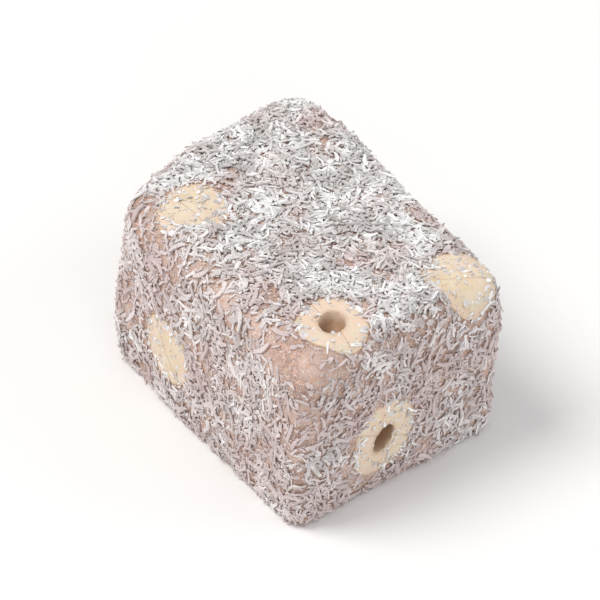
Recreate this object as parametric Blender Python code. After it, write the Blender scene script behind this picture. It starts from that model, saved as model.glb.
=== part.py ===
"""One piece of hazelnut cezerye: a hand-cut block of thick carrot paste, rolled in coconut shreds, with
whole hazelnuts that the knife has cut through where they meet a face.

Metres, +Z up. X runs across the piece and Y along it, and the origin is on the underside, at its middle.
The block holds a socket for each nut. Each nut is its own solid, cut flush with the block's faces, and the
coconut shreds are fused to the block.
"""

import math
import random

import bmesh
import bpy
from mathutils import Matrix, Vector, noise

MM = 0.001

# The block
WIDTH = 34 * MM
LENGTH = 43.5 * MM
HEIGHT = 25 * MM
EDGE_RADIUS = 3.0 * MM
UNDER_SINK = 1.3 * MM  # how far the soft underside is pressed flat
FRONT_SLOPE = math.tan(math.radians(8.5))  # the two end cuts aren't square to the sides
BACK_SLOPE = math.tan(math.radians(14.5))
END_BOW = 3.2 * MM  # how far the back end stands out in the middle
SIDE_BULGE = 0.020  # shares of the half width
SLUMP = 0.022
TOP_DOME = 0.7 * MM
UNEVEN = 0.75 * MM
UNEVEN_SPACING = 11 * MM
UNDER_FADE = 4  # unevenness in height is full from a quarter of the way up
UNEVEN_SEED = 5  # noise_vector starts from the clock when it has none
FACE_CUTS = {"x": 5, "y": 6, "z": 4}  # flat divisions between the rounded edges
MERGE_DISTANCE = 0.02 * MM
BLOCK_CREASE = math.radians(35)  # edges sharper than this are shaded sharp

# The nuts
KERNEL_RADIUS = 5.5 * MM  # of a kernel of size 1
KERNEL_HALF_LENGTH = 6.2 * MM
KERNEL_TIP = 0.16  # how much the pointed end narrows
CORE_RADIUS = 1.9 * MM  # the hollow in the middle of a kernel
CORE_HALF_LENGTH = 2.9 * MM
CORE_SIDES = 12
KERNEL_SEGMENTS = 16
KERNEL_RINGS = 10
SOCKET_GAP = 0.3 * MM
NUT_CREASE = math.radians(40)

# The coconut
SHRED_SEED = 14
SHRED_COUNTS = {"top": 140, "side": 190}
SHRED_LENGTHS = (2.2 * MM, 3.8 * MM)
SHRED_WIDTHS = (0.65 * MM, 1.0 * MM)
SHRED_THICKNESS = 0.60 * MM
SHRED_BACK = 0.75  # how much narrower a strip is along its upper side
SHRED_TAPERS = (0.55, 0.95)  # its narrow end as a share of its wide one
SHRED_RISE = 0.12 * MM  # of a strip's middle line above the block
SHRED_SPACING = {"top": 2.5 * MM, "side": 3.0 * MM}
SHRED_FLOOR_GAP = 0.4 * MM
SHRED_NUT_GAP = 0.6 * MM
SHRED_TRIES = 60  # for each strip asked for
TOP_FACING = 0.6  # a triangle whose normal rises more than this is on the top
BARE_REACH = 9.0 * MM  # the coconut is rubbed off this far round the near top corner

PASTE_COLOUR = (0.38, 0.20, 0.13, 1.0)
NUT_COLOUR = (0.80, 0.64, 0.44, 1.0)

# Each kernel: a point over the face that it shows at, the way that face looks, how deep its middle lies under
# the face, its long axis, its size, and whether the cut opens its hollow core.
HALF_WIDTH = WIDTH / 2
HALF_LENGTH = LENGTH / 2
KERNELS = {
    "hazelnut_near": {"at": (-8.1 * MM, -17.2 * MM, HEIGHT), "face": (0, 0, 1), "deep": 0.8 * MM,
                      "axis": (0.55, 0.75, 0.30), "size": 0.90, "open_core": True},
    "hazelnut_left": {"at": (-10.1 * MM, 11.2 * MM, HEIGHT), "face": (0, 0, 1), "deep": 2.9 * MM,
                      "axis": (0.60, 0.80, 0.20), "size": 1.0, "open_core": False},
    "hazelnut_right": {"at": (11.9 * MM, -16.4 * MM, HEIGHT), "face": (0, 0, 1), "deep": 1.9 * MM,
                       "axis": (1.0, 0.3, -0.4), "size": 0.90, "open_core": False},
    "hazelnut_side": {"at": (-HALF_WIDTH, 5.5 * MM, 9.6 * MM), "face": (-1, 0, 0), "deep": 2.9 * MM,
                      "axis": (0.2, 0.8, 0.6), "size": 0.97, "open_core": False},
    "hazelnut_front": {"at": (-3.0 * MM, -HALF_LENGTH, 9.0 * MM), "face": (0, -1, 0), "deep": 1.3 * MM,
                       "axis": (0.5, 0.5, 0.8), "size": 1.0, "open_core": True},
    "hazelnut_back": {"at": (5.0 * MM, HALF_LENGTH, 14.5 * MM), "face": (0, 1, 0), "deep": 2.4 * MM,
                      "axis": (1.0, 0.2, 0.2), "size": 0.94, "open_core": False},
    "hazelnut_far": {"at": (HALF_WIDTH, 6.0 * MM, 11.5 * MM), "face": (1, 0, 0), "deep": 0.8 * MM,
                     "axis": (0.3, 0.9, -0.4), "size": 1.0, "open_core": True},
    "hazelnut_under": {"at": (6.0 * MM, 9.5 * MM, 0.0), "face": (0, 0, -1), "deep": 3.2 * MM,
                       "axis": (0.9, 0.4, 0.1), "size": 1.04, "open_core": False},
}


def clear_scene():
    for obj in list(bpy.data.objects):
        bpy.data.objects.remove(obj)


def make_material(name, colour, roughness):
    material = bpy.data.materials.new(name)
    material.use_nodes = True
    shader = material.node_tree.nodes["Principled BSDF"]
    shader.inputs["Base Color"].default_value = colour
    shader.inputs["Roughness"].default_value = roughness
    shader.inputs["Metallic"].default_value = 0.0
    return material


def add_object(name, bm, material=None):
    mesh = bpy.data.meshes.new(name)
    bm.to_mesh(mesh)
    bm.free()
    obj = bpy.data.objects.new(name, mesh)
    bpy.context.scene.collection.objects.link(obj)
    if material:
        mesh.materials.append(material)
    return obj


def apply_boolean(obj, operation, solver="EXACT", other=None, collection=None):
    """Joins or cuts obj with one object, or with every object of a collection, for good."""
    modifier = obj.modifiers.new(operation.lower(), "BOOLEAN")
    modifier.operation = operation
    modifier.solver = solver
    if collection:
        modifier.operand_type = "COLLECTION"
        modifier.collection = collection
    else:
        modifier.object = other
    bpy.context.view_layer.update()
    evaluated = obj.evaluated_get(bpy.context.evaluated_depsgraph_get())
    mesh = bpy.data.meshes.new_from_object(evaluated)
    obj.modifiers.clear()
    obj.data = mesh


def stations(half, cuts):
    """Grid lines across one side of the rounded box: two in each rounded edge, and cuts flat divisions."""
    flat = half - EDGE_RADIUS
    inner = [flat * (2 * i / cuts - 1) for i in range(cuts + 1)]
    edge = flat + EDGE_RADIUS * math.tan(math.radians(22.5))
    return [-half, -edge, *inner, edge, half]


def rounded(corner, half):
    """A point on the plain box, moved onto the box with rounded edges."""
    inner = Vector([max(EDGE_RADIUS - h, min(h - EDGE_RADIUS, c)) for c, h in zip(corner, half)])
    return inner + (corner - inner).normalized() * EDGE_RADIUS


def cut_piece(point):
    """A point of the rounded box, centred on the origin, moved to the uneven outline of the cut piece.

    The sides swell in the middle and settle outwards below, the two ends slope and the back one is bowed,
    the top is domed, and noise leaves the faces as uneven as soft paste. The underside stays flat.
    """
    x, y, z = point.x, point.y, point.z + HEIGHT / 2 - UNDER_SINK / 2
    up = z / HEIGHT
    swell = 1 + SIDE_BULGE * (1 - (2 * up - 1) ** 2) + SLUMP * (1 - up)
    x *= swell
    y *= swell
    slope = FRONT_SLOPE + (BACK_SLOPE - FRONT_SLOPE) * (y / LENGTH + 0.5)
    y += slope * x
    y += END_BOW * max(0.0, point.y / HALF_LENGTH) * (1 - (point.x / HALF_WIDTH) ** 2)
    crown = (1 - (point.x / HALF_WIDTH) ** 2) * (1 - (point.y / HALF_LENGTH) ** 2)
    z += TOP_DOME * crown * max(0.0, up)
    lifted = min(1.0, max(0.0, up) * UNDER_FADE)
    wave = noise.noise_vector(Vector((x, y, z)) / UNEVEN_SPACING) * UNEVEN
    moved = Vector((x, y, z)) + Vector((wave.x, wave.y, wave.z * lifted))
    moved.z = max(0.0, moved.z)
    return moved


def block_core():
    """The block with neither sockets nor coconut: one quad grid for each side of a rounded box."""
    half = Vector((HALF_WIDTH, HALF_LENGTH, (HEIGHT + UNDER_SINK) / 2))
    lines = [stations(half[i], FACE_CUTS["xyz"[i]]) for i in range(3)]
    bm = bmesh.new()
    for axis in range(3):
        across, along = (axis + 1) % 3, (axis + 2) % 3
        for side in (-1, 1):
            grid = []
            for a in lines[across]:
                row = []
                for b in lines[along]:
                    corner = Vector((0, 0, 0))
                    corner[axis], corner[across], corner[along] = side * half[axis], a, b
                    row.append(bm.verts.new(cut_piece(rounded(corner, half))))
                grid.append(row)
            for i in range(len(grid) - 1):
                for j in range(len(grid[0]) - 1):
                    bm.faces.new((grid[i][j], grid[i + 1][j], grid[i + 1][j + 1], grid[i][j + 1]))
    bmesh.ops.remove_doubles(bm, verts=bm.verts, dist=MERGE_DISTANCE)
    under = [f for f in bm.faces if all(v.co.z == 0.0 for v in f.verts)]
    bmesh.ops.dissolve_faces(bm, faces=under)
    bmesh.ops.triangulate(bm, faces=[f for f in bm.faces if len(f.verts) == 4])
    bmesh.ops.recalc_face_normals(bm, faces=bm.faces)
    return bm


def settle_kernels(core):
    """Works out each kernel's frame, long axis up, from where the block's own uneven face is."""
    for kernel in KERNELS.values():
        face = Vector(kernel["face"])
        start = Vector(kernel["at"]) + face * HEIGHT
        _, point, _, _ = core.ray_cast(start, -face)
        turn = Vector(kernel["axis"]).to_track_quat("Z", "Y").to_matrix().to_4x4()
        kernel["frame"] = Matrix.Translation(point - face * kernel["deep"]) @ turn


def kernel_shape(kernel, grow=0.0):
    """A whole kernel: an egg that narrows to its tip, grown on all sides by grow."""
    radius = KERNEL_RADIUS * kernel["size"] + grow
    half_length = KERNEL_HALF_LENGTH * kernel["size"] + grow
    bm = bmesh.new()
    bmesh.ops.create_uvsphere(bm, u_segments=KERNEL_SEGMENTS, v_segments=KERNEL_RINGS, radius=1.0)
    for vert in bm.verts:
        narrow = 1 - KERNEL_TIP * max(0.0, vert.co.z)
        vert.co.x *= radius * narrow
        vert.co.y *= radius * narrow
        vert.co.z *= half_length
    bmesh.ops.triangulate(bm, faces=bm.faces)
    bm.transform(kernel["frame"])
    return bm


def core_shape(kernel):
    """The hollow in the middle of a kernel, as a cutter."""
    bm = bmesh.new()
    bmesh.ops.create_uvsphere(bm, u_segments=CORE_SIDES, v_segments=CORE_SIDES // 2, radius=1.0)
    bm.transform(Matrix.Diagonal((CORE_RADIUS, CORE_RADIUS, CORE_HALF_LENGTH, 1)))
    bm.transform(kernel["frame"])
    return bm


def make_nuts(core, material):
    """Cuts each kernel flush with the block's faces. Its object stands at its middle, with Z its long axis."""
    for name, kernel in KERNELS.items():
        nut = add_object(name, kernel_shape(kernel), material)
        apply_boolean(nut, "INTERSECT", other=core)
        if kernel["open_core"]:
            hollow = add_object("hollow_cutter", core_shape(kernel))
            apply_boolean(nut, "DIFFERENCE", other=hollow)
            bpy.data.objects.remove(hollow)
        nut.data.shade_smooth()
        nut.data.set_sharp_from_angle(angle=NUT_CREASE)
        nut.data.transform(kernel["frame"].inverted())
        nut.matrix_world = kernel["frame"]


def cut_sockets(block):
    for kernel in KERNELS.values():
        socket = add_object("socket_cutter", kernel_shape(kernel, SOCKET_GAP))
        apply_boolean(block, "DIFFERENCE", other=socket)
        bpy.data.objects.remove(socket)


def shred_shape(length, width, taper):
    """A strip of coconut along X: a four-sided bar that is narrower at one end."""
    bm = bmesh.new()
    rings = []
    for along, share in ((-0.5, taper), (0.5, 1.0)):
        half = share * width / 2
        back = SHRED_BACK * half
        outline = ((-half, -0.5), (half, -0.5), (back, 0.5), (-back, 0.5))
        rings.append([bm.verts.new((along * length, y, level * SHRED_THICKNESS)) for y, level in outline])
    for k in range(4):
        bm.faces.new((rings[0][k], rings[0][(k + 1) % 4], rings[1][(k + 1) % 4], rings[1][k]))
    bm.faces.new(rings[0][::-1])
    bm.faces.new(rings[1])
    bmesh.ops.recalc_face_normals(bm, faces=bm.faces)
    return bm


def clear_of_nuts(points):
    """True where none of the points is in a socket, or nearer to one than the gap that coconut keeps."""
    for kernel in KERNELS.values():
        radii = Vector((KERNEL_RADIUS, KERNEL_RADIUS, KERNEL_HALF_LENGTH)) * kernel["size"]
        radii += Vector((1, 1, 1)) * (SOCKET_GAP + SHRED_NUT_GAP)
        inward = kernel["frame"].inverted()
        for point in points:
            local = inward @ point
            if Vector([c / r for c, r in zip(local, radii)]).length < 1:
                return False
    return True


def surface_triangles(core):
    """The block's triangles, with their normals and areas, sorted into the top and the sides."""
    core.data.calc_loop_triangles()
    found = {"top": [], "side": []}
    for triangle in core.data.loop_triangles:
        a, b, c = (core.data.vertices[i].co for i in triangle.vertices)
        normal = triangle.normal
        if normal.z < -TOP_FACING:
            continue
        zone = "top" if normal.z > TOP_FACING else "side"
        found[zone].append((a, b, c, normal.copy(), triangle.area))
    return found


def place_shreds(core):
    """Strips of coconut spread evenly over the top and, thinner, over the sides."""
    draw = random.Random(SHRED_SEED)
    bare_corner = cut_piece(Vector((-HALF_WIDTH, -HALF_LENGTH, HEIGHT / 2)))
    collection = bpy.data.collections.new("shreds")
    bpy.context.scene.collection.children.link(collection)
    taken = []
    for zone, triangles in surface_triangles(core).items():
        areas = [t[4] for t in triangles]
        placed = 0
        tries = 0
        while placed < SHRED_COUNTS[zone] and tries < SHRED_TRIES * SHRED_COUNTS[zone]:
            tries += 1
            a, b, c, normal, _ = draw.choices(triangles, areas)[0]
            s, t = sorted((draw.random(), draw.random()))
            point = a * s + b * (t - s) + c * (1 - t)
            length = draw.uniform(*SHRED_LENGTHS)
            spin = draw.uniform(0, math.tau)
            width = draw.uniform(*SHRED_WIDTHS)
            taper = draw.uniform(*SHRED_TAPERS)
            if any((point - other).length < SHRED_SPACING[zone] for other in taken):
                continue
            if (point - bare_corner).length < BARE_REACH:
                continue
            turn = normal.to_track_quat("Z", "Y").to_matrix().to_4x4() @ Matrix.Rotation(spin, 4, "Z")
            place = Matrix.Translation(point + normal * SHRED_RISE) @ turn
            shape = shred_shape(length, width, taper)
            shape.transform(place)
            corners = [v.co.copy() for v in shape.verts]
            low = min(corner.z for corner in corners) < SHRED_FLOOR_GAP
            if low or not clear_of_nuts([point, *corners]):
                shape.free()
                continue
            shred = add_object("shred", shape)
            bpy.context.scene.collection.objects.unlink(shred)
            collection.objects.link(shred)
            taken.append(point)
            placed += 1
    return collection


def keep_largest_body(obj):
    """Drops the scraps and the sealed pockets that a union can leave."""
    bm = bmesh.new()
    bm.from_mesh(obj.data)
    left = set(bm.verts)
    bodies = []
    while left:
        body, edge = set(), [left.pop()]
        while edge:
            vert = edge.pop()
            body.add(vert)
            for link in vert.link_edges:
                other = link.other_vert(vert)
                if other in left:
                    left.remove(other)
                    edge.append(other)
        bodies.append(body)
    largest = max(bodies, key=len)
    bmesh.ops.delete(bm, geom=[v for v in bm.verts if v not in largest], context="VERTS")
    bm.to_mesh(obj.data)
    bm.free()


def gather():
    """Hangs the block and its nuts on one empty, so that the piece moves as a whole."""
    piece = bpy.data.objects.new("cezerye_piece", None)
    bpy.context.scene.collection.objects.link(piece)
    for name in ("paste_block", *KERNELS):
        bpy.data.objects[name].parent = piece


def main():
    clear_scene()
    noise.seed_set(UNEVEN_SEED)
    paste = make_material("carrot_paste", PASTE_COLOUR, 0.55)
    nut = make_material("hazelnut", NUT_COLOUR, 0.45)
    core = add_object("core_guide", block_core())
    bpy.context.view_layer.update()
    settle_kernels(core)
    make_nuts(core, nut)
    block = add_object("paste_block", block_core(), paste)
    cut_sockets(block)
    shreds = place_shreds(core)
    apply_boolean(block, "UNION", solver="MANIFOLD", collection=shreds)
    for shred in list(shreds.objects):
        bpy.data.objects.remove(shred)
    bpy.data.collections.remove(shreds)
    keep_largest_body(block)
    block.data.shade_smooth()
    block.data.set_sharp_from_angle(angle=BLOCK_CREASE)
    bpy.data.objects.remove(core)
    gather()


main()
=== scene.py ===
# A piece of hazelnut cezerye: carrot paste, cut hazelnuts and a coat of shredded coconut.
import math
import random

import bmesh
import bpy
import numpy as np
from mathutils import Matrix, Vector, noise
from mathutils.bvhtree import BVHTree
from mathutils.kdtree import KDTree


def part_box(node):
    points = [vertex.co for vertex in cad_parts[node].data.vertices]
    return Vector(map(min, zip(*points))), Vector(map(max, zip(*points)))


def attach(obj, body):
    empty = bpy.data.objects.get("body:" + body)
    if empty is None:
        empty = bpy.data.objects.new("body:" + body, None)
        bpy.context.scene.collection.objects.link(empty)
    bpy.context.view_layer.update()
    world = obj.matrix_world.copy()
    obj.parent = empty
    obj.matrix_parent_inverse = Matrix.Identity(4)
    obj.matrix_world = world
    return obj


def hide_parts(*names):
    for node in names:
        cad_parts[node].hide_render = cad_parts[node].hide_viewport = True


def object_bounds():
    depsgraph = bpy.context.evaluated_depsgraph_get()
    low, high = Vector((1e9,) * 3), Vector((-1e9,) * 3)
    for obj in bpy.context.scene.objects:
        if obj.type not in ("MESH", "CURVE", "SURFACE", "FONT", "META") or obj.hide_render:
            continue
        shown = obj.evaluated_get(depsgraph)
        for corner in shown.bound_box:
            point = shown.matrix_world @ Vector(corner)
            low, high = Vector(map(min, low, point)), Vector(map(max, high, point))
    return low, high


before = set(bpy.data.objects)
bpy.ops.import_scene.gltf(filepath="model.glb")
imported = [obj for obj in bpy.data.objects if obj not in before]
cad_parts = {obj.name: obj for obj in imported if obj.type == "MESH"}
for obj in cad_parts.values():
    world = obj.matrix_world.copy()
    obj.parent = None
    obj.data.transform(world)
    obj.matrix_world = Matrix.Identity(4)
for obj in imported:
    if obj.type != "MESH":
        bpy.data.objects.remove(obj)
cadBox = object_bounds()
mm = 0.001
tiny = 0.002 * mm       # points nearer to each other than this are one


def shareBetween(low, high, value):
    # 0 up to low, 1 from high on, and a smooth rise between them
    share = np.clip((np.asarray(value, float) - low) / (high - low), 0, 1)
    return share * share * (3 - 2 * share)


def meshObject(name, mesh):
    made = bpy.data.objects.new(name, mesh)
    bpy.context.scene.collection.objects.link(made)
    return made


def meshOf(form, name):
    mesh = bpy.data.meshes.new(name)
    form.to_mesh(mesh)
    form.free()
    return mesh


def evaluatedMesh(source):
    # the plain mesh that an object's modifiers make, in place of the object
    bpy.context.view_layer.update()
    mesh = bpy.data.meshes.new_from_object(source.evaluated_get(bpy.context.evaluated_depsgraph_get()))
    bpy.data.objects.remove(source)
    return mesh


def pointsOf(mesh):
    flat = np.zeros(len(mesh.vertices) * 3, np.float32)
    mesh.vertices.foreach_get("co", flat)
    return flat.reshape(-1, 3).astype(float)


def normalsOf(mesh):
    flat = np.zeros(len(mesh.vertices) * 3, np.float32)
    mesh.vertex_normals.foreach_get("vector", flat)
    return flat.reshape(-1, 3).astype(float)


def setPoints(mesh, points):
    mesh.vertices.foreach_set("co", np.asarray(points, np.float32).ravel())
    mesh.update()


def paintPoints(mesh, name, values):
    # a number on each point
    layer = mesh.attributes.new(name, "FLOAT", "POINT")
    layer.data.foreach_set("value", np.asarray(values, np.float32))


def paintVectors(mesh, name, rows):
    layer = mesh.attributes.new(name, "FLOAT_VECTOR", "POINT")
    layer.data.foreach_set("vector", np.array([tuple(r) for r in rows], np.float32).ravel())


def searchTree(mesh):
    return BVHTree.FromPolygons([v.co for v in mesh.vertices], [p.vertices for p in mesh.polygons])


def mergedCopy(node):
    form = bmesh.new()
    form.from_mesh(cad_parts[node].data)
    bmesh.ops.remove_doubles(form, verts=form.verts, dist=tiny)
    bmesh.ops.recalc_face_normals(form, faces=form.faces)
    return meshOf(form, node + "Copy")


patternShift = {    # moves each pattern of bumps, so that none repeats another
    "lumps": 0.0, "grain": 7.0, "drag": 13.0,
    "seam": 3.0, "knife": 5.0, "chip": 11.0, "pitRough": 17.0,
    "patches": 23.0, "nearCorner": 29.0, "stain": 41.0, "overRim": 53.0, "thinSpots": 61.0,
}


def waves(points, spacing, pattern):
    # smooth unevenness from -1 to 1, with bumps about spacing apart
    offset = patternShift[pattern]
    shift = Vector((offset, -offset, 0.5 * offset))
    return np.array([noise.noise(Vector(p) / spacing + shift) for p in points])


# the block, with the values of its solid
block = {
    "width": 34 * mm, "length": 43.5 * mm, "height": 25 * mm,
    "edge": 3 * mm,              # radius of the rounded edges
    "sink": 1.3 * mm,            # how far the underside is pressed flat
    "frontSlope": math.radians(8.5), "backSlope": math.radians(14.5),   # how askew the ends are cut
    "endBow": 3.2 * mm,          # of the back end
    "bulge": 0.020, "slump": 0.022, "dome": 0.7 * mm,       # swollen sides, wider foot, raised top
    "uneven": 0.75 * mm, "unevenSpacing": 11 * mm, "unevenSeed": 5,
    "underFade": 4,              # the unevenness grows this fast, up from the flat underside
    "step": 0.29 * mm,           # between grid lines
    "weld": 0.02 * mm,           # joins the grids along the box's edges
    "stand": 0.25 * mm,          # coconut under the block, between it and the floor
    "squeeze": 1.2,              # how softly that coconut gives way
}


def boxGrids(half, step):
    # six fine grids that make a box: their points, and quads that face out
    counts = np.ceil(2 * half / step).astype(int)
    points, faces, first = [], [], 0
    for axis in range(3):
        across, along = (axis + 1) % 3, (axis + 2) % 3
        a = np.linspace(-half[across], half[across], counts[across] + 1)
        b = np.linspace(-half[along], half[along], counts[along] + 1)
        for side in (-1, 1):
            grid = np.zeros((len(a), len(b), 3))
            grid[..., axis] = side * half[axis]
            grid[..., across] = a[:, None]
            grid[..., along] = b[None, :]
            number = first + np.arange(len(a) * len(b)).reshape(len(a), len(b))
            quads = np.stack([number[:-1, :-1], number[1:, :-1], number[1:, 1:], number[:-1, 1:]], -1)
            quads = quads.reshape(-1, 4)
            faces.append(quads if side == 1 else quads[:, ::-1])
            points.append(grid.reshape(-1, 3))
            first += number.size
    return np.vstack(points), np.vstack(faces)


def settled(flat, half):
    # a rounded box's points, moved as soft paste settles
    height = flat[:, 2] + block["height"] / 2 - block["sink"] / 2
    up = height / block["height"]
    swell = 1 + block["bulge"] * (1 - (2 * up - 1) ** 2) + block["slump"] * (1 - up)
    x, y = flat[:, 0] * swell, flat[:, 1] * swell
    front, back = math.tan(block["frontSlope"]), math.tan(block["backSlope"])
    y = y + (front + (back - front) * (y / block["length"] + 0.5)) * x
    middle = 1 - (flat[:, 0] / half[0]) ** 2
    y = y + block["endBow"] * np.clip(flat[:, 1] / half[1], 0, None) * middle
    height = height + block["dome"] * middle * (1 - (flat[:, 1] / half[1]) ** 2) * np.clip(up, 0, None)
    placed = np.stack([x, y, height], 1)
    noise.seed_set(block["unevenSeed"])
    drift = np.array([noise.noise_vector(Vector(p) / block["unevenSpacing"]) for p in placed])
    drift *= block["uneven"]
    drift[:, 2] *= np.clip(up * block["underFade"], 0, 1)
    placed += drift
    placed[:, 2] = np.clip(placed[:, 2], 0, None)
    return placed


def blockSurface():
    half = np.array([block["width"], block["length"], block["height"] + block["sink"]]) / 2
    edge = block["edge"]
    corners, faces = boxGrids(half, block["step"])
    inner = np.clip(corners, edge - half, half - edge)
    reach = corners - inner
    rounded = inner + reach / np.linalg.norm(reach, axis=1)[:, None] * edge
    form = bmesh.new()
    verts = [form.verts.new(p) for p in settled(rounded, half)]
    for quad in faces:
        form.faces.new([verts[i] for i in quad])
    bmesh.ops.remove_doubles(form, verts=form.verts, dist=block["weld"])
    bmesh.ops.recalc_face_normals(form, faces=form.faces)
    return meshOf(form, "blockSurface")


surface = blockSurface()
surfaceTree = searchTree(surface)
surfacePoints = pointsOf(surface)
surfaceNormals = normalsOf(surface)
print("block surface:", len(surface.polygons), "quads")

nutNames = sorted(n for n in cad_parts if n.startswith("hazelnut"))
pasteCopy = mergedCopy("paste_block")
pasteTree = searchTree(pasteCopy)
nutCopies = {name: mergedCopy(name) for name in nutNames}
nutTrees = {name: searchTree(mesh) for name, mesh in nutCopies.items()}


# where the nuts show in the block's faces
socket = {
    "gap": 0.3 * mm,             # between paste and nut in the solids
    "room": 0.9 * mm,            # round a nut, where a point may still be in its section
    "probe": 0.4 * mm,           # how far under a face the test for a socket is made
    "wayOut": (0.31, 0.22, 0.92),   # of the line that this test follows, slanted so that it misses edges
    "reach": 14 * mm,            # deeper than any nut
    "margin": 0.4 * mm,          # of paste that stays up under a nut's cut face
    "tuck": 0.16 * mm,           # how far that margin lies under the cut face
    "beside": 4 * mm,            # further from a nut than this the face doesn't feel it
}


def insideSolid(tree, point):
    # an odd count of faces met on the way out
    direction = Vector(socket["wayOut"]).normalized()
    met, start = 0, point
    while True:
        hit, _, _, _ = tree.ray_cast(start, direction)
        if hit is None:
            return met % 2 == 1
        met += 1
        start = hit + direction * tiny


def nearNut(points, name, room):
    # the numbers of the points in a nut's box, with room round it
    low, high = (np.array(corner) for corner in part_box(name))
    return np.nonzero(np.all((points > low - room) & (points < high + room), axis=1))[0]


def rimDistance(points):
    # how far each point is from the paste round its nut, less the gap
    return np.array([pasteTree.find_nearest(Vector(p))[3] for p in points]) - socket["gap"]


def nutSections():
    # for each point of the surface: the nut whose section it is in, and how far inside the nut's rim
    names, inward = [None] * len(surfacePoints), np.zeros(len(surfacePoints))
    for name in nutNames:
        for i in nearNut(surfacePoints, name, socket["room"]):
            under = Vector(surfacePoints[i] - surfaceNormals[i] * socket["probe"])
            if insideSolid(pasteTree, under):
                continue
            depth = rimDistance([under])[0]
            if depth > 0:
                names[i], inward[i] = name, depth
    return names, inward


sectionNames, sectionDepth = nutSections()
print("nut sections:", {n: sectionNames.count(n) for n in nutNames})


def seatDirections():
    # the way out of the block at each nut
    directions = {}
    for name in nutNames:
        mine = [i for i, n in enumerate(sectionNames) if n == name]
        directions[name] = Vector(surfaceNormals[mine].mean(axis=0)).normalized()
    return directions


def distanceToNuts(points):
    best = np.full(len(points), socket["reach"])
    for name, tree in nutTrees.items():
        for i in nearNut(points, name, socket["beside"]):
            best[i] = min(best[i], tree.find_nearest(Vector(points[i]))[3])
    return best


seatDirection = seatDirections()
surfaceNutDistance = distanceToNuts(surfacePoints)


# the carrot paste
paste = {
    "lumps": (2.9 * mm, 0.15 * mm),     # spacing and height
    "grain": (1.0 * mm, 0.055 * mm),
    "drag": (0.55 * mm, 0.045 * mm),    # lines that the knife leaves down the cut sides
    "dragStretch": 9, "dragFade": (0.35, 0.8),      # none where the face turns level
    "lip": 0.9 * mm,                    # how far round a nut the paste lies level with it
    "seat": 0.1 * mm,                   # how far the paste reaches into a nut from below
}


def buildPaste():
    sides = 1 - shareBetween(*paste["dragFade"], np.abs(surfaceNormals[:, 2]))
    upright = surfacePoints / np.array([1, 1, paste["dragStretch"]])
    relief = paste["lumps"][1] * waves(surfacePoints, paste["lumps"][0], "lumps")
    relief += paste["grain"][1] * waves(surfacePoints, paste["grain"][0], "grain")
    relief += paste["drag"][1] * waves(upright, paste["drag"][0], "drag") * sides
    relief *= shareBetween(0, paste["lip"], surfaceNutDistance)
    relief -= 0.5 * paste["lumps"][1]
    points = surfacePoints + surfaceNormals * relief[:, None]
    for i, name in enumerate(sectionNames):
        if name is None:
            continue
        points[i] = surfacePoints[i] - surfaceNormals[i] * socket["tuck"]
        if sectionDepth[i] > socket["margin"]:
            out = seatDirection[name]
            start = Vector(surfacePoints[i]) - out * socket["reach"]
            hit, _, _, _ = nutTrees[name].ray_cast(start, out)
            if hit is not None:
                points[i] = hit + out * paste["seat"]
    points[:, 2] = np.maximum(points[:, 2], block["stand"])
    mesh = surface.copy()
    mesh.name = "carrotPaste"
    setPoints(mesh, points)
    mesh.shade_smooth()
    return meshObject("carrotPaste", mesh)


pastePiece = buildPaste()
print("carrot paste:", 2 * len(pastePiece.data.polygons), "triangles")


# the hazelnuts
nut = {
    "voxel": 0.16 * mm,
    "cutDepth": 0.28 * mm,              # points nearer the face than this are on the cut
    "hollowFrom": 0.9 * mm,             # what is deeper, and this far inside the rim, is the hollow
    "proud": (-0.05 * mm, 0.06 * mm),   # how far a cut face stands out of the paste
    "knife": (0.8 * mm, 0.022 * mm),    # fine unevenness of the cut
    "knifeStretch": 7,
    "chip": (0.8 * mm, 0.10 * mm),      # crumbled rim
    "chipReach": 0.5 * mm, "chipShare": 0.25,
    "seamHalf": 0.16 * mm, "seamDeep": 0.09 * mm, "seamSway": (4 * mm, 0.35 * mm),
    "seamFade": (0.1 * mm, 0.5 * mm),   # in from the rim
    "easeFrom": 1.8 * mm, "easeTurns": 14, "easeBy": 0.5,   # rounds the hollow, this far inside the rim
    "pitFloor": 1.6 * mm,               # depth at which the painted shade in the hollow is darkest
    "pitHalo": (0.8 * mm, 0.45),        # the browner ring round the hollow's mouth
    "pitRough": (0.7 * mm, 0.03 * mm),
    "overFloor": 0.02 * mm,             # of a nut cut by the underside
    "shades": {"hazelnut_near": 0.0, "hazelnut_left": 0.9, "hazelnut_right": 0.7,
               "hazelnut_front": 0.25},     # from 0, peach, to 1, cream in the middle
    "plainShade": 0.5,                  # of the others
    "seed": 31,
}


def remeshedNut(name):
    source = meshObject("remeshSource", nutCopies[name])
    modifier = source.modifiers.new("voxels", "REMESH")
    modifier.mode = "VOXEL"
    modifier.voxel_size = nut["voxel"]
    modifier.adaptivity = 0
    mesh = evaluatedMesh(source)
    mesh.name = name + "Fine"
    return mesh


def roundHollow(mesh):
    # eases the flat sides that a hollow has in the solid
    form = bmesh.new()
    form.from_mesh(mesh)
    form.verts.ensure_lookup_table()
    inner = [form.verts[i] for i in np.nonzero(rimDistance(pointsOf(mesh)) > nut["easeFrom"])[0]]
    for _ in range(nut["easeTurns"]):
        bmesh.ops.smooth_vert(form, verts=inner, factor=nut["easeBy"],
                              use_axis_x=True, use_axis_y=True, use_axis_z=True)
    form.to_mesh(mesh)
    form.free()


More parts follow.
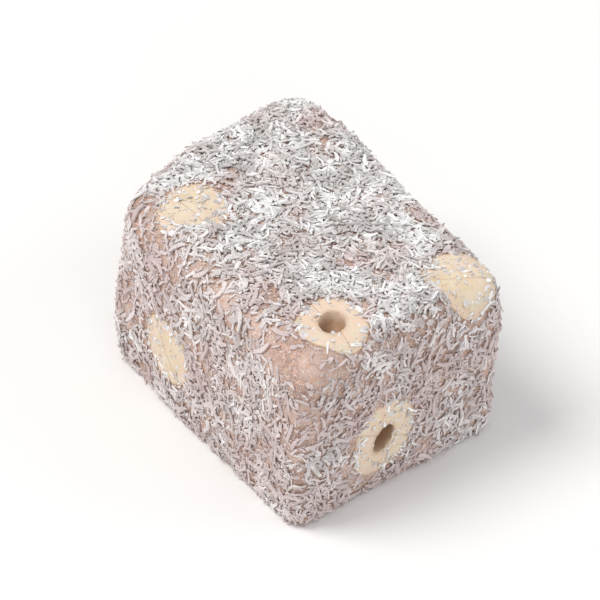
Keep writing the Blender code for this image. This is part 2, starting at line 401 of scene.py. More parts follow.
def hollowPaintedShadeAndRing(points, onCut, hollow, depth):
    # how dark each point is: painted shade in the hollow, darker with its depth, and a browner ring on
    # the cut face round its mouth
    pit = np.where(hollow, shareBetween(0, nut["pitFloor"], depth), 0.0)
    if hollow.any():
        walls = KDTree(int(hollow.sum()))
        for i, wall in enumerate(points[hollow]):
            walls.insert(wall, i)
        walls.balance()
        halo = np.array([walls.find(p)[2] for p in points])
        reach, share = nut["pitHalo"]
        pit = np.where(onCut, share * (1 - shareBetween(0, reach, halo)), pit)
    return pit


def cutRelief(points, rim, out, proud, seamTurn):
    # how far each point of a cut stands out of the block's face, and how much of it is seam
    side = out.orthogonal().normalized()
    side.rotate(Matrix.Rotation(seamTurn, 3, out))
    along = out.cross(side)
    middle = Vector(points.mean(axis=0))
    sway = nut["seamSway"][1] * waves(points, nut["seamSway"][0], "seam")
    across = (points - np.array(middle)) @ np.array(side) + sway
    seam = np.clip(1 - np.abs(across) / nut["seamHalf"], 0, 1)
    drawn = (points @ np.array(along)) * (1 - 1 / nut["knifeStretch"])
    lengthwise = points - np.outer(drawn, np.array(along))
    relief = proud + nut["knife"][1] * waves(lengthwise, nut["knife"][0], "knife")
    crumbled = np.clip(waves(points, nut["chip"][0], "chip") + nut["chipShare"], 0, 1)
    crumbled *= 1 - shareBetween(0, nut["chipReach"], rim)
    relief -= nut["chip"][1] * crumbled + nut["seamDeep"] * seam * shareBetween(*nut["seamFade"], rim)
    return relief, seam


def buildNut(name, draw):
    mesh = remeshedNut(name)
    roundHollow(mesh)
    points = pointsOf(mesh)
    found = [surfaceTree.find_nearest(Vector(p)) for p in points]
    depth = np.array([(Vector(p) - f[0]).length for p, f in zip(points, found)])
    rim = rimDistance(points)
    onCut = depth < nut["cutDepth"]
    hollow = (~onCut) & (rim > nut["hollowFrom"])
    # painted shade in the hollow, darker with depth, and the browner ring round its mouth
    pit = hollowPaintedShadeAndRing(points, onCut, hollow, depth)
    proud = draw.uniform(*nut["proud"])
    seamTurn = draw.uniform(0, math.pi)
    relief, seam = cutRelief(points, rim, seatDirection[name], proud, seamTurn)
    for i in np.nonzero(onCut)[0]:
        place, normal, _, _ = found[i]
        points[i] = place + normal * float(relief[i])
    rough = nut["pitRough"][1] * waves(points, nut["pitRough"][0], "pitRough")
    points[hollow] += normalsOf(mesh)[hollow] * rough[hollow][:, None]
    points[:, 2] = np.maximum(points[:, 2], nut["overFloor"])
    setPoints(mesh, points)
    mesh.shade_smooth()
    paintPoints(mesh, "rim", np.clip(rim, 0, None) / mm)
    # painted shade in the hollow, darker with depth, and the browner ring round its mouth
    paintPoints(mesh, "pit", pit)
    paintPoints(mesh, "seam", seam * onCut)
    paintPoints(mesh, "shade", np.full(len(points), nut["shades"].get(name, nut["plainShade"])))
    before, after = name.split("_")
    return meshObject(before + after.capitalize(), mesh)


nutDraw = random.Random(nut["seed"])
nutPieces = {name: buildNut(name, nutDraw) for name in nutNames}
print("hazelnuts:", {n: 2 * len(o.data.polygons) for n, o in nutPieces.items()})


# the coconut coat
cover = {
    "top": 1.0, "sides": 0.51, "under": 0.36,               # share of the full density
    "topTurn": (0.35, 0.85), "underTurn": (0.5, 0.9),       # how level the top and the underside are
    "edgeLoss": 0.35, "edgeBend": (0.03, 0.22),             # rubbed off the rounded edges
    "edgeEven": 0.6,                    # of that loss is everywhere, and patches move it
    "patches": (6.5 * mm, 0.34),        # spacing and strength of thin patches
    "patchesOn": (1.3, 0.3),            # how much of that strength the sides and the top have
    "thinSpots": (4.2 * mm, 0.50), "thinRange": (0.05, 0.45),   # spacing and strength of small ones
    "bareCorner": (2.0 * mm, 11 * mm, 0.12),    # bare to here, coated from here, and what stays on it
    "bareCornerIn": (3.5 * mm, 4.5 * mm, -1.5 * mm),    # its middle, in from the near top corner
    "bareCornerDrop": 1.8,                      # how much faster it fades downwards
    "bareCornerUneven": (2.925 * mm, 0.7),      # spacing and strength of its uneven outline
    "bareEdge": (4.2 * mm, 0.7),        # reach and strength of the rubbing along the left top edge
    "bareEdgeEven": (0.7, 0.8),         # its share everywhere, and how far patches move it
    "nutLoss": (0.9 * mm, 0.6),         # less of it beside a nut
    "overRim": {"hazelnut_left": 0.6, "hazelnut_right": 0.6, "hazelnut_near": 0.12},
    "overOthers": 0.5,                  # shreds that lie across a nut's rim, in patches
    "overReach": 2.4 * mm, "overSpacing": 3.2 * mm, "overRange": (-0.15, 0.35),
    "dustOnNuts": {"hazelnut_left": 0.32, "hazelnut_right": 0.30, "hazelnut_near": 0.07},
    "dustOnOthers": 0.14,
    "dustAtRim": (1.2 * mm, 0.35),      # more of it near a nut's rim
    "stainPatches": (7 * mm, 0.75),     # where the paste has coloured the coconut
    "stainBare": 1.25, "stainFade": 1.2,        # most stain where the coat is thin
    "stainOnNuts": 0.1,
}


def coatOnPaste():
    # how thickly coconut lies at each point of the surface, before the nuts count
    facing = surfaceNormals[:, 2]
    top, under = shareBetween(*cover["topTurn"], facing), shareBetween(*cover["underTurn"], -facing)
    amount = cover["sides"] * (1 - top - under) + cover["top"] * top + cover["under"] * under
    spacing, strength = cover["patches"]
    patches = waves(surfacePoints, spacing, "patches")
    bend = shareBetween(*cover["edgeBend"], 1 - np.abs(surfaceNormals).max(axis=1))
    amount *= 1 - cover["edgeLoss"] * bend * (cover["edgeEven"] + patches)
    onSides, onTop = cover["patchesOn"]
    amount *= 1 + strength * patches * (onSides + (onTop - onSides) * top)
    spacing, strength = cover["thinSpots"]
    thin = waves(surfacePoints, spacing, "thinSpots")
    amount *= 1 - strength * shareBetween(*cover["thinRange"], thin)
    low, high = surfacePoints.min(axis=0), surfacePoints.max(axis=0)
    corner = np.array([low[0], low[1], high[2]]) + np.array(cover["bareCornerIn"])
    away = np.linalg.norm((surfacePoints - corner) * np.array([1, 1, cover["bareCornerDrop"]]), axis=1)
    spacing, strength = cover["bareCornerUneven"]
    away *= 1 + strength * waves(surfacePoints, spacing, "nearCorner")
    bareTo, coatedFrom, left = cover["bareCorner"]
    amount *= left + (1 - left) * shareBetween(bareTo, coatedFrom, away)
    fromEdge = np.hypot(surfacePoints[:, 0] - low[0], surfacePoints[:, 2] - high[2])
    reach, strength = cover["bareEdge"]
    even, moved = cover["bareEdgeEven"]
    worn = np.exp(-(fromEdge / reach) ** 2) * np.clip(even + moved * patches, 0, 1)
    return amount * (1 - strength * worn)


def opensBelow(name, point, normal):
    # whether a nut's hollow, and not its flesh, lies under a point of its section
    start = Vector(point + normal * socket["probe"])
    _, _, _, distance = nutTrees[name].ray_cast(start, -Vector(normal), 2 * socket["probe"])
    return distance is None


def coatCover():
    # how thickly shreds, and how thickly finer crumbs, lie at each point, and how stained they are
    reach, strength = cover["nutLoss"]
    shreds = coatOnPaste() * (1 - strength * (1 - shareBetween(0, reach, surfaceNutDistance)))
    shreds = np.clip(shreds, 0, 1)
    crumbs, onNut = shreds.copy(), np.zeros(len(shreds), bool)
    strays = shareBetween(*cover["overRange"], waves(surfacePoints, cover["overSpacing"], "overRim"))
    strays *= 1 - shareBetween(0, cover["overReach"], sectionDepth)
    reach, more = cover["dustAtRim"]
    atRim = more * (1 - shareBetween(0, reach, sectionDepth))
    for i, name in enumerate(sectionNames):
        if name is None:
            continue
        onNut[i] = True
        if opensBelow(name, surfacePoints[i], surfaceNormals[i]):
            shreds[i] = crumbs[i] = 0
            continue
        shreds[i] = strays[i] * cover["overRim"].get(name, cover["overOthers"])
        crumbs[i] = min(1, cover["dustOnNuts"].get(name, cover["dustOnOthers"]) + atRim[i])
    spacing, strength = cover["stainPatches"]
    stain = cover["stainBare"] - cover["stainFade"] * shreds
    stain += strength * waves(surfacePoints, spacing, "stain")
    return shreds, crumbs, np.where(onNut, cover["stainOnNuts"], np.clip(stain, 0, 1))


def paintedBase():
    # the surface that the coats lie on, at the height of the paste, and the stain painted on it
    mesh = surface.copy()
    mesh.name = "coatBase"
    points = surfacePoints.copy()
    points[:, 2] = np.maximum(points[:, 2], block["stand"])
    setPoints(mesh, points)
    shreds, crumbs, stain = coatCover()
    paintPoints(mesh, "shredCover", shreds)
    paintPoints(mesh, "crumbCover", crumbs)
    paintPoints(mesh, "stain", stain)
    return mesh, stain


coatBase, coatStain = paintedBase()


strip = {   # shares of a shred's own length, width and thickness
    "bow": 0.2, "sway": 0.2, "twist": 0.9,      # the twist in radians
    "pressed": 0.6,                             # what is left of the bow where it lies on the paste
    "tip": (0.5, 1.0), "tipThick": 0.5, "ragged": 0.06, "uneven": 0.2,
    "section": ((-1, -0.8), (1, -1), (0.8, 1), (-0.9, 0.8)),
}


def stripKind(draw, settings, length, width, thick):
    # a curved, slightly twisted strip of coconut with ragged, thinner ends
    form = bmesh.new()
    rings = []
    bow, sway, twist = (draw.uniform(-strip[s], strip[s]) for s in ("bow", "sway", "twist"))
    tips = draw.uniform(*strip["tip"]), draw.uniform(*strip["tip"])
    for k in range(settings["bends"] + 1):
        t = k / settings["bends"]
        tip = tips[0] + (tips[1] - tips[0]) * t
        swell = tip + (1 - tip) * math.sin(math.pi * t)
        half = 0.5 * width * swell
        deep = 0.5 * thick * (strip["tipThick"] + (1 - strip["tipThick"]) * swell)
        turn = twist * (t - 0.5)
        ring = []
        for across, level in strip["section"]:
            y = across * half * (1 + draw.uniform(-strip["uneven"], strip["uneven"]))
            z = level * deep * (1 + draw.uniform(-strip["uneven"], strip["uneven"]))
            y, z = y * math.cos(turn) - z * math.sin(turn), y * math.sin(turn) + z * math.cos(turn)
            x = (t - 0.5) * length + draw.uniform(-strip["ragged"], strip["ragged"]) * length
            y += sway * length * (2 * t - 1) ** 2
            z += bow * length * (2 * t - 1) ** 2 * strip["pressed"]
            ring.append(form.verts.new((x, y, z)))
        rings.append(ring)
    for a, b in zip(rings, rings[1:]):
        for k in range(4):
            form.faces.new((a[k], a[(k + 1) % 4], b[(k + 1) % 4], b[k]))
    form.faces.new(rings[0][::-1])
    form.faces.new(rings[-1])
    return form


def flakeKind(draw, settings, length, width, thick):
    # a small torn flake
    form = bmesh.new()
    bmesh.ops.create_icosphere(form, subdivisions=1, radius=0.5)
    for vert in form.verts:
        vert.co *= draw.uniform(*settings["uneven"])
        vert.co = Vector((vert.co.x * length, vert.co.y * width, vert.co.z * thick))
    return form


def crumbKind(draw, settings, length, width, thick):
    # the finest crumbs: eight faces each
    form = bmesh.new()
    tips = [Vector(c) * draw.uniform(*settings["tips"]) for c in
            ((1, 0, 0), (0, 1, 0), (-1, 0, 0), (0, -1, 0), (0, 0, 1), (0, 0, -1))]
    verts = [form.verts.new((t.x * length, t.y * width, t.z * thick)) for t in tips]
    for k in range(4):
        form.faces.new((verts[k], verts[(k + 1) % 4], verts[4]))
        form.faces.new((verts[(k + 1) % 4], verts[k], verts[5]))
    return form


coats = {   # lengths in millimetres, tilts in degrees
    "coconutShreds": {
        "make": stripKind, "kinds": 24, "bends": 2,
        "length": (0.85, 2.2), "width": (0.27, 0.60), "thick": (0.12, 0.26), "scale": (0.75, 1.2),
        "cover": "shredCover", "perSquareMm": 2.8, "lift": (0.05, 0.50), "tilt": 15, "seed": 3,
    },
    "coconutFlakes": {
        "make": flakeKind, "kinds": 12, "uneven": (0.8, 1.2),
        "length": (0.6, 1.5), "width": (0.35, 0.85), "thick": (0.14, 0.30), "scale": (0.65, 1.1),
        "cover": "crumbCover", "perSquareMm": 2.1, "lift": (0.0, 0.26), "tilt": 25, "seed": 8,
    },
    "coconutCrumbs": {
        "make": crumbKind, "kinds": 8, "tips": (0.38, 0.6),
        "length": (0.25, 0.6), "width": (0.22, 0.45), "thick": (0.18, 0.32), "scale": (0.6, 1.3),
        "cover": "crumbCover", "perSquareMm": 5.0, "lift": (0.0, 0.22), "tilt": 60, "seed": 13,
    },
}
largeShred = {
    "stands": 0.15 * mm,                # what is higher than this over the face is a shred
    "fewest": 4,                        # corners that it then has
    "make": stripKind, "kinds": 12, "bends": 3,
    "length": (3.0, 3.0), "width": (0.8, 0.8), "thick": (0.22, 0.34),       # millimetres
    "widen": 0.92,                      # of the solid's width
    "longest": 3.3 * mm, "widest": 0.8 * mm,    # where two solid shreds have run together
    "lift": 0.16 * mm,                  # of its middle over the face
    "seed": 21,
}
coconutForm = {     # of every kind
    "fibreAlong": 0.12, "fibreApart": 7.3,      # the fibres' stretch, and their shift from kind to kind
    "crisp": math.radians(40),                  # edges sharper than this stay crisp
}


def kindCollection(name, settings):
    draw = random.Random(settings["seed"])
    kinds = bpy.data.collections.new(name + "Kinds")
    for k in range(settings["kinds"]):
        sizes = [draw.uniform(*settings[s]) * mm for s in ("length", "width", "thick")]
        form = settings["make"](draw, settings, *sizes)
        bmesh.ops.recalc_face_normals(form, faces=form.faces)
        mesh = meshOf(form, f"{name}Kind{k:02d}")
        own = pointsOf(mesh) / mm * np.array([coconutForm["fibreAlong"], 1, 1])
        paintVectors(mesh, "fibreAt", own + coconutForm["fibreApart"] * k)
        kinds.objects.link(bpy.data.objects.new(mesh.name, mesh))
    return kinds


# trees of nodes, for the coat and for the finishes
def newGroup(name, kind, takes, gives):
    # takes and gives are the kinds of the named sockets
    group = bpy.data.node_groups.new(name, kind)
    for label, value in gives.items():
        group.interface.new_socket(label, in_out="OUTPUT", socket_type="NodeSocket" + value)
    identifiers = {}
    for label, value in takes.items():
        made = group.interface.new_socket(label, in_out="INPUT", socket_type="NodeSocket" + value)
        identifiers[label] = made.identifier
    return group, identifiers


def setInputs(tree, node, entries):
    # each entry is an input's value, or the output that feeds it
    for key, value in entries.items():
        if isinstance(value, bpy.types.NodeSocket):
            tree.links.new(value, node.inputs[key])
        else:
            node.inputs[key].default_value = value


def addNode(tree, kind, entries=None, **settings):
    node = tree.nodes.new(kind)
    for key, value in settings.items():
        setattr(node, key, value)
    setInputs(tree, node, entries or {})
    return node.outputs


def multiplied(tree, a, b):
    return addNode(tree, "ShaderNodeMath", {0: a, 1: b}, operation="MULTIPLY")[0]


def addKinds(tree, given, points, toneSeed, entries):
    # one kind of piece on each point, made real, with a tone of its own and the finish
    kinds = addNode(tree, "GeometryNodeCollectionInfo",
                    {"Collection": given["Kinds"], "Separate Children": True, "Reset Children": True})
    entries = {"Points": points, "Instance": kinds[0], "Pick Instance": True, **entries}
    placed = addNode(tree, "GeometryNodeInstanceOnPoints", entries)
    tone = addNode(tree, "FunctionNodeRandomValue", {"Seed": toneSeed}, data_type="FLOAT")
    marked = addNode(tree, "GeometryNodeStoreNamedAttribute",
                     {"Geometry": placed[0], "Name": "tone", "Value": tone[1]},
                     data_type="FLOAT", domain="INSTANCE")
    real = addNode(tree, "GeometryNodeRealizeInstances", {"Geometry": marked[0]})
    finished = addNode(tree, "GeometryNodeSetMaterial",
                       {"Geometry": real[0], "Material": given["Finish"]})
    addNode(tree, "NodeGroupOutput", {"Geometry": finished[0]})


def scatterTree():
    # points on the surface, by the cover painted there, each with a piece lying along the face
    tree, identifiers = newGroup("coconutScatter", "GeometryNodeTree", {
        "Geometry": "Geometry", "Kinds": "Collection", "Cover": "String", "Density": "Float",
        "Lift Low": "Float", "Lift High": "Float", "Tilt": "Float",
        "Scale Low": "Float", "Scale High": "Float", "Seed": "Int", "Finish": "Material",
    }, {"Geometry": "Geometry"})
    given = addNode(tree, "NodeGroupInput")

    def seeded(offset):
        return addNode(tree, "ShaderNodeMath", {0: given["Seed"], 1: offset}, operation="ADD")[0]

    def randomBetween(low, high, seed):
        entries = {2: low, 3: high, "Seed": seed}       # this node's range for plain numbers
        return addNode(tree, "FunctionNodeRandomValue", entries, data_type="FLOAT")[1]

    amount = addNode(tree, "GeometryNodeInputNamedAttribute", {"Name": given["Cover"]},
                     data_type="FLOAT")["Attribute"]
    density = multiplied(tree, amount, given["Density"])
    spread = addNode(tree, "GeometryNodeDistributePointsOnFaces",
                     {"Mesh": given["Geometry"], "Density": density, "Seed": given["Seed"]},
                     distribute_method="RANDOM")
    lift = randomBetween(given["Lift Low"], given["Lift High"], seeded(1))
    height = multiplied(tree, lift, amount)     # thick coats pile up, thin ones lie close
    rise = addNode(tree, "ShaderNodeVectorMath", {0: spread["Normal"], "Scale": height},
                   operation="SCALE")
    raised = addNode(tree, "GeometryNodeSetPosition", {"Geometry": spread["Points"], "Offset": rise[0]})
    lowTilt = multiplied(tree, given["Tilt"], -1)
    least = addNode(tree, "ShaderNodeCombineXYZ", {"X": lowTilt, "Y": lowTilt})
    most = addNode(tree, "ShaderNodeCombineXYZ", {"X": given["Tilt"], "Y": given["Tilt"], "Z": math.tau})
    angles = addNode(tree, "FunctionNodeRandomValue", {0: least[0], 1: most[0], "Seed": seeded(2)},
                     data_type="FLOAT_VECTOR")
    turn = addNode(tree, "FunctionNodeEulerToRotation", {0: angles[0]})
    laid = addNode(tree, "FunctionNodeRotateRotation", {0: spread["Rotation"], 1: turn[0]},
                   rotation_space="LOCAL")
    size = randomBetween(given["Scale Low"], given["Scale High"], seeded(3))
    # a whole number from 0 to 1000, which then runs through the kinds again and again
    choice = addNode(tree, "FunctionNodeRandomValue", {5: 1000, "Seed": seeded(4)}, data_type="INT")
    addKinds(tree, given, raised[0], seeded(5),
             {"Instance Index": choice[2], "Rotation": laid[0], "Scale": size})
    return tree, identifiers


def placedTree():
    # a piece on each point, turned and scaled as painted there
    tree, identifiers = newGroup("coconutPlaced", "GeometryNodeTree", {
        "Geometry": "Geometry", "Kinds": "Collection", "Seed": "Int", "Finish": "Material",
    }, {"Geometry": "Geometry"})
    given = addNode(tree, "NodeGroupInput")
    painted = {
        label: addNode(tree, "GeometryNodeInputNamedAttribute", {"Name": name},
                       data_type="FLOAT_VECTOR")["Attribute"]
        for label, name in (("Rotation", "turn"), ("Scale", "size"))}
    addKinds(tree, given, given["Geometry"], given["Seed"], painted)
    return tree, identifiers


def solidShreds():
    # the middle, direction, length and width of each shred that stands out of the solid block
    points = pointsOf(pasteCopy)
    height = np.zeros(len(points))
    for i, point in enumerate(points):
        place, normal, _, _ = surfaceTree.find_nearest(Vector(point))
        height[i] = (Vector(point) - place).dot(normal)
    group = {i: i for i in np.nonzero(height > largeShred["stands"])[0]}

    def firstOf(i):
        while group[i] != i:
            i = group[i]
        return i

    for edge in pasteCopy.edges:
        a, b = edge.vertices
        if a in group and b in group:
            group[firstOf(a)] = firstOf(b)
    members = {}
    for i in group:
        members.setdefault(firstOf(i), []).append(i)
    shreds = []
    for mine in members.values():
        if len(mine) < largeShred["fewest"]:
            continue
        cloud = points[mine]
        middle = cloud.mean(axis=0)
        axes = np.linalg.svd(cloud - middle, full_matrices=False)[2]
        long, wide = (float(np.ptp((cloud - middle) @ axes[k])) for k in range(2))
        shreds.append((Vector(middle), Vector(axes[0]), min(long, largeShred["longest"]),
                       min(wide, largeShred["widest"])))
    return shreds


def finishedCoat(name, base, treeAndIdentifiers, values):
    tree, identifiers = treeAndIdentifiers
    modifier = base.modifiers.new("coat", "NODES")
    modifier.node_group = tree
    for label, value in values.items():
        modifier[identifiers[label]] = value
    mesh = evaluatedMesh(base)
    mesh.name = name
    for spare in ("turn", "size", "shredCover", "crumbCover"):
        if spare in mesh.attributes:
            mesh.attributes.remove(mesh.attributes[spare])
    mesh.materials.clear()                  # the kinds bring an empty slot of their own
    mesh.materials.append(values["Finish"])
    mesh.polygons.foreach_set("material_index", np.zeros(len(mesh.polygons), np.int32))
    points = pointsOf(mesh)
    stand = block["stand"]                  # what hangs lower is squeezed thin by the block's weight
    under = points[:, 2] < stand
    points[under, 2] = stand * np.exp((points[under, 2] - stand) / (block["squeeze"] * stand))
    setPoints(mesh, points)
    mesh.shade_smooth()
    mesh.set_sharp_from_angle(angle=coconutForm["crisp"])
    print(name + ":", sum(len(p.vertices) - 2 for p in mesh.polygons), "triangles")
    return meshObject(name, mesh)


def buildLargeShreds(finish):
    found = solidShreds()
    print("shreds in the solid:", len(found))
    places, turns, sizes, stains = [], [], [], []
    for middle, direction, long, wide in found:
        place, normal, face, _ = surfaceTree.find_nearest(middle)
        along = (direction - normal * direction.dot(normal)).normalized()
        at = place + normal * largeShred["lift"]
        at.z = max(at.z, block["stand"])
        places.append(at)
        turns.append(Matrix((along, normal.cross(along), normal)).transposed().to_euler())
        sizes.append((long / mm / largeShred["length"][0],
                      largeShred["widen"] * wide / mm / largeShred["width"][0], 1))
        stains.append(coatStain[surface.polygons[face].vertices[0]])
    mesh = bpy.data.meshes.new("largeShredPlaces")
    mesh.from_pydata(places, [], [])
    paintVectors(mesh, "turn", turns)
    paintVectors(mesh, "size", sizes)
    paintPoints(mesh, "stain", stains)
    values = {"Kinds": kindCollection("coconutLargeShreds", largeShred),
              "Seed": largeShred["seed"], "Finish": finish}
    return finishedCoat("coconutLargeShreds", meshObject("largeShredPlaces", mesh), placedTree(), values)


def buildCoat(name, settings, treeAndIdentifiers, finish):
    values = {
        "Kinds": kindCollection(name, settings), "Cover": settings["cover"],
        "Density": settings["perSquareMm"] / mm ** 2, "Tilt": math.radians(settings["tilt"]),
        "Lift Low": settings["lift"][0] * mm, "Lift High": settings["lift"][1] * mm,
        "Scale Low": settings["scale"][0], "Scale High": settings["scale"][1],
        "Seed": settings["seed"], "Finish": finish,
    }
    return finishedCoat(name, meshObject(name + "Base", coatBase), treeAndIdentifiers, values)


# finishes, and what they share
grainForm = {"speckDetail": 4, "speckRoughness": 0.6, "speckEdge": 0.12, "patchDetail": 3}


def grainGroup():
    # fine grain: a mask of specks, slow patches, and a height for bumps
    group, _ = newGroup("foodGrain", "ShaderNodeTree",
                        dict.fromkeys(("Speck Scale", "Patch Scale", "Speck Share"), "Float"),
                        dict.fromkeys(("Specks", "Patches", "Height"), "Float"))
    given = addNode(group, "NodeGroupInput")
    where = addNode(group, "ShaderNodeTexCoord")["Object"]
    fine = addNode(group, "ShaderNodeTexNoise",
                   {"Vector": where, "Scale": given["Speck Scale"],
                    "Detail": grainForm["speckDetail"], "Roughness": grainForm["speckRoughness"]})["Fac"]
    slow = addNode(group, "ShaderNodeTexNoise",
                   {"Vector": where, "Scale": given["Patch Scale"],
                    "Detail": grainForm["patchDetail"]})["Fac"]
    least = addNode(group, "ShaderNodeMath", {0: 1, 1: given["Speck Share"]}, operation="SUBTRACT")[0]
    most = addNode(group, "ShaderNodeMath", {0: least, 1: grainForm["speckEdge"]}, operation="ADD")[0]
    specks = addNode(group, "ShaderNodeMapRange", {"Value": fine, "From Min": least, "From Max": most},
                     interpolation_type="SMOOTHSTEP")["Result"]
    addNode(group, "NodeGroupOutput", {"Specks": specks, "Patches": slow, "Height": fine})
    return group


grain = grainGroup()


def addGrain(tree, speckScale, patchScale, speckShare):
    entries = {"Speck Scale": speckScale, "Patch Scale": patchScale, "Speck Share": speckShare}
    return addNode(tree, "ShaderNodeGroup", entries, node_tree=grain)


def pointValue(tree, name):
    return addNode(tree, "ShaderNodeAttribute", attribute_name=name)["Fac"]


def rampOf(tree, source, low, high, start=0.0, end=1.0):
    # source, spread smoothly from start to end as it goes from low to high
    entries = {"Value": source, "From Min": low, "From Max": high, "To Min": start, "To Max": end}
    ramp = addNode(tree, "ShaderNodeMapRange", entries, interpolation_type="SMOOTHSTEP", clamp=True)
    return ramp["Result"]


def layered(tree, look, first, shares):
    # each layer's colour lies over those before it, by its share
    colour = (*look[first], 1)
    for layer, share in shares.items():
        entries = {0: share, 6: colour, 7: (*look[layer], 1)}       # this node's sockets for colours
        colour = addNode(tree, "ShaderNodeMix", entries, data_type="RGBA")[2]
    return colour


def startFinish(name, roughness):
    material = bpy.data.materials.new(name)
    material.use_nodes = True
    shader = material.node_tree.nodes["Principled BSDF"]
    shader.inputs["Roughness"].default_value = roughness
    return material, material.node_tree, shader


def closeFinish(tree, shader, look, colour, height):
    # the colour, the light that soft food lets through, and its finest bumps
    strength, distance = look["bump"]
    bump = addNode(tree, "ShaderNodeBump",
                   {"Strength": strength, "Distance": distance, "Height": height})
    weight, radius, depth = look["glow"]
    setInputs(tree, shader, {"Base Color": colour, "Normal": bump["Normal"], "Subsurface Weight": weight,
                             "Subsurface Radius": radius, "Subsurface Scale": depth})


pasteLook = {
    "grain": (1500, 260, 0.52), "dustGrain": (4200, 700, 0.46),     # specks, patches, share of specks
    "dark": (0.37, 0.24, 0.198), "light": (0.60, 0.44, 0.38), "lightRange": (0.35, 0.68),
    "fibre": (0.56, 0.355, 0.27), "dust": (0.74, 0.64, 0.595),
    "roughness": (0.30, 0.62), "roughRange": (0.3, 0.7), "bump": (0.5, 0.12 * mm),
    "glow": (0.22, (1.0, 0.45, 0.25), 1.2 * mm),
}


def pasteFinish():
    material, tree, shader = startFinish("carrotPasteFinish", pasteLook["roughness"][0])
    body = addGrain(tree, *pasteLook["grain"])
    dust = addGrain(tree, *pasteLook["dustGrain"])
    colour = layered(tree, pasteLook, "dark", {
        "light": rampOf(tree, body["Patches"], *pasteLook["lightRange"]),
        "fibre": body["Specks"],
        "dust": dust["Specks"],
    })
    rough = rampOf(tree, dust["Height"], *pasteLook["roughRange"], *pasteLook["roughness"])
    setInputs(tree, shader, {"Roughness": rough})
    closeFinish(tree, shader, pasteLook, colour, dust["Height"])
    return material


nutLook = {
    "flesh": (2600, 420, 0.46), "pores": (6500, 1500, 0.36), "slow": (2600, 170, 0.46),
    "peach": (0.79, 0.60, 0.46), "cream": (0.69, 0.55, 0.365),
    "outerZone": (0.2, 1.8), "heartZone": (1.4, 3.4), "skinZone": (0.02, 0.30),     # millimetres in
    "heart": (0.77, 0.665, 0.49), "heartShare": 0.25,
    "blush": (0.78, 0.63, 0.53), "blushRange": (0.48, 0.60), "blushShare": 0.6,
    "pale": (0.77, 0.655, 0.505), "paleRange": (0.42, 0.68),
    "toast": (0.66, 0.46, 0.30), "toastRange": (0.56, 0.86), "speck": (0.62, 0.46, 0.32),
    # the last colour here is that of the painted shade in a nut's hollow, also used for the browner ring
    # round its mouth
    "seam": (0.60, 0.43, 0.29), "skin": (0.50, 0.31, 0.19), "skinShare": 0.6, "pit": (0.40, 0.24, 0.145),
    "roughness": 0.55, "bump": (0.6, 0.10 * mm), "glow": (0.15, (1.0, 0.6, 0.35), 0.8 * mm),
}


def nutFinish():
    material, tree, shader = startFinish("hazelnutFinish", nutLook["roughness"])
    flesh = addGrain(tree, *nutLook["flesh"])
    pores = addGrain(tree, *nutLook["pores"])
    slow = addGrain(tree, *nutLook["slow"])
    rim = pointValue(tree, "rim")
    colour = layered(tree, nutLook, "peach", {
        "cream": multiplied(tree, pointValue(tree, "shade"), rampOf(tree, rim, *nutLook["outerZone"])),
        "heart": rampOf(tree, rim, *nutLook["heartZone"], 0.0, nutLook["heartShare"]),
        "blush": rampOf(tree, slow["Patches"], *nutLook["blushRange"], 0.0, nutLook["blushShare"]),
        "pale": rampOf(tree, flesh["Patches"], *nutLook["paleRange"]),
        "toast": rampOf(tree, pores["Patches"], *nutLook["toastRange"]),
        "speck": pores["Specks"],
        "seam": pointValue(tree, "seam"),
        "skin": rampOf(tree, rim, *nutLook["skinZone"], nutLook["skinShare"], 0.0),
        # painted shade in the hollow, and the browner ring round its mouth
        "pit": pointValue(tree, "pit"),
    })
    closeFinish(tree, shader, nutLook, colour, pores["Height"])
    return material


coconutLook = {
    "grey": (0.47, 0.44, 0.43), "plain": (0.69, 0.67, 0.665), "plainRange": (0.0, 0.4),
    "bright": (1.0, 1.0, 1.0), "brightRange": (0.5, 0.9),
    "fibreScale": 6.0, "fibreDetail": 3, "shade": (0.60, 0.57, 0.56), "shadeRange": (0.48, 0.75),
    "patches": (2500, 230, 0.5),
    "damp": (0.44, 0.415, 0.41), "dampRange": (0.50, 0.66), "dampShare": 0.6,
    "dry": (0.95, 0.95, 0.95), "dryRange": (0.34, 0.48), "dryShare": 0.5,
    "stain": (0.58, 0.445, 0.435), "stainShare": 0.72,
    "roughness": 0.8, "shine": 0.25, "bump": (0.55, 0.07 * mm),
    "glow": (0.25, (1.0, 0.9, 0.8), 0.3 * mm),
}


def coconutFinish():
    material, tree, shader = startFinish("coconutFinish", coconutLook["roughness"])
    place = addNode(tree, "ShaderNodeAttribute", attribute_name="fibreAt")["Vector"]
    fibre = addNode(tree, "ShaderNodeTexNoise",
                    {"Vector": place, "Scale": coconutLook["fibreScale"],
                     "Detail": coconutLook["fibreDetail"]})["Fac"]
    tone = pointValue(tree, "tone")
    patches = addGrain(tree, *coconutLook["patches"])["Patches"]
    colour = layered(tree, coconutLook, "grey", {
        "plain": rampOf(tree, tone, *coconutLook["plainRange"]),
        "bright": rampOf(tree, tone, *coconutLook["brightRange"]),
        "shade": rampOf(tree, fibre, *coconutLook["shadeRange"]),
        "damp": rampOf(tree, patches, *coconutLook["dampRange"], 0.0, coconutLook["dampShare"]),
        "dry": rampOf(tree, patches, *coconutLook["dryRange"], coconutLook["dryShare"], 0.0),
        "stain": multiplied(tree, pointValue(tree, "stain"), coconutLook["stainShare"]),
    })
    setInputs(tree, shader, {"Specular IOR Level": coconutLook["shine"]})
    closeFinish(tree, shader, coconutLook, colour, fibre)
    return material


coconut = coconutFinish()
scatter = scatterTree()
coatPieces = {name: buildCoat(name, settings, scatter, coconut) for name, settings in coats.items()}
coatPieces["coconutLargeShreds"] = buildLargeShreds(coconut)
pastePiece.data.materials.append(pasteFinish())
nutMaterial = nutFinish()
for piece in nutPieces.values():
    piece.data.materials.append(nutMaterial)

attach(pastePiece, "root")
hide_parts("paste_block")
for name, piece in nutPieces.items():
    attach(piece, "root")
    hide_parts(name)
for piece in coatPieces.values():
    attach(piece, "root")
print("pieces ride on the root body")


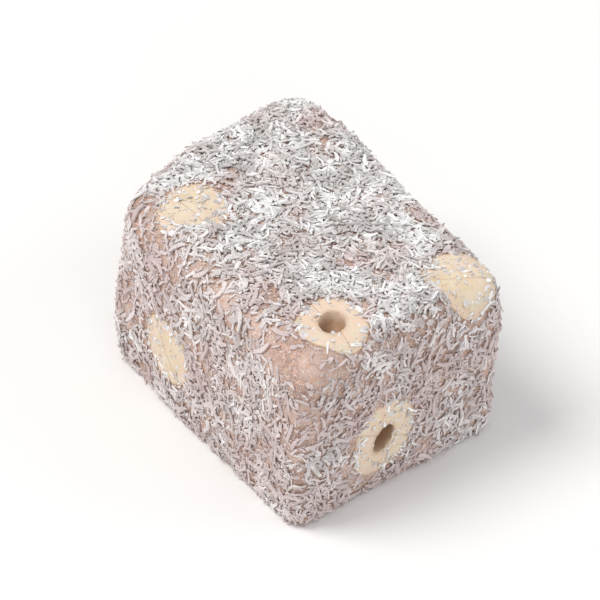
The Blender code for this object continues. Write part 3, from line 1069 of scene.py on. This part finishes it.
# stage, light and camera
stage = {
    "floorSize": 6.0, "floorColour": (0.88, 0.875, 0.87), "floorRoughness": 0.85,
    "worldColour": (1.0, 1.0, 1.0), "worldStrength": 0.52,
}
lamps = {   # place, size and power of each soft light
    "keyLight": {"at": (-0.45, 0.25, 0.80), "size": 0.55, "watts": 6.2, "colour": (1.0, 0.985, 0.96)},
    "fillLight": {"at": (0.65, -0.45, 0.45), "size": 0.6, "watts": 1.6, "colour": (0.96, 0.98, 1.0)},
    "frontLight": {"at": (-0.35, -0.75, 0.35), "size": 0.6, "watts": 1.3, "colour": (1.0, 1.0, 1.0)},
}
viewPoint = {   # angles in degrees, and fill, the share of the view that the object takes
    "azimuth": -36.4, "elevation": 38.2, "roll": 4.0, "distance": 2.09, "fill": 0.80,
    "sensor": 36,                       # millimetres
}


def buildStage():
    form = bmesh.new()
    bmesh.ops.create_grid(form, x_segments=1, y_segments=1, size=stage["floorSize"] / 2)
    floor = meshObject("floor", meshOf(form, "floor"))
    material, tree, shader = startFinish("floorFinish", stage["floorRoughness"])
    setInputs(tree, shader, {"Base Color": (*stage["floorColour"], 1)})
    floor.data.materials.append(material)
    world = bpy.data.worlds.new("studio")
    bpy.context.scene.world = world
    world.use_nodes = True
    setInputs(world.node_tree, world.node_tree.nodes["Background"],
              {"Color": (*stage["worldColour"], 1), "Strength": stage["worldStrength"]})


def buildLights():
    aim = (Vector(cadBox[0]) + Vector(cadBox[1])) / 2
    for name, lamp in lamps.items():
        light = bpy.data.lights.new(name, "AREA")
        light.shape = "DISK"
        light.size = lamp["size"]
        light.energy = lamp["watts"]
        light.color = lamp["colour"]
        shown = bpy.data.objects.new(name, light)
        shown.location = lamp["at"]
        shown.rotation_euler = (aim - Vector(lamp["at"])).to_track_quat("-Z", "Y").to_euler()
        shown.visible_camera = False
        bpy.context.scene.collection.objects.link(shown)


def buildCamera():
    low, high = Vector(cadBox[0]), Vector(cadBox[1])
    middle = (low + high) / 2
    a, e = math.radians(viewPoint["azimuth"]), math.radians(viewPoint["elevation"])
    back = Vector((math.sin(a) * math.cos(e), -math.cos(a) * math.cos(e), math.sin(e)))
    data = bpy.data.cameras.new("camera")
    camera = bpy.data.objects.new("camera", data)
    bpy.context.scene.collection.objects.link(camera)
    camera.rotation_mode = "QUATERNION"
    turn = (-back).to_track_quat("-Z", "Y")
    roll = Matrix.Rotation(math.radians(viewPoint["roll"]), 4, "Z").to_quaternion()
    camera.rotation_quaternion = turn @ roll
    camera.location = middle + back * viewPoint["distance"]
    right = camera.rotation_quaternion @ Vector((1, 0, 0))
    up = camera.rotation_quaternion @ Vector((0, 1, 0))
    corners = [Vector((x, y, z)) - middle
               for x in (low.x, high.x) for y in (low.y, high.y) for z in (low.z, high.z)]
    spans = [[c.dot(axis) for c in corners] for axis in (right, up)]
    centre = [(min(s) + max(s)) / 2 for s in spans]
    camera.location += right * centre[0] + up * centre[1]
    widest = max(max(s) - min(s) for s in spans)
    data.sensor_width = viewPoint["sensor"]
    data.lens = viewPoint["fill"] * data.sensor_width * viewPoint["distance"] / widest
    bpy.context.scene.camera = camera


buildStage()
buildLights()
buildCamera()
bpy.context.scene.view_settings.view_transform = "Standard"
print("stage, lights and camera are in place")
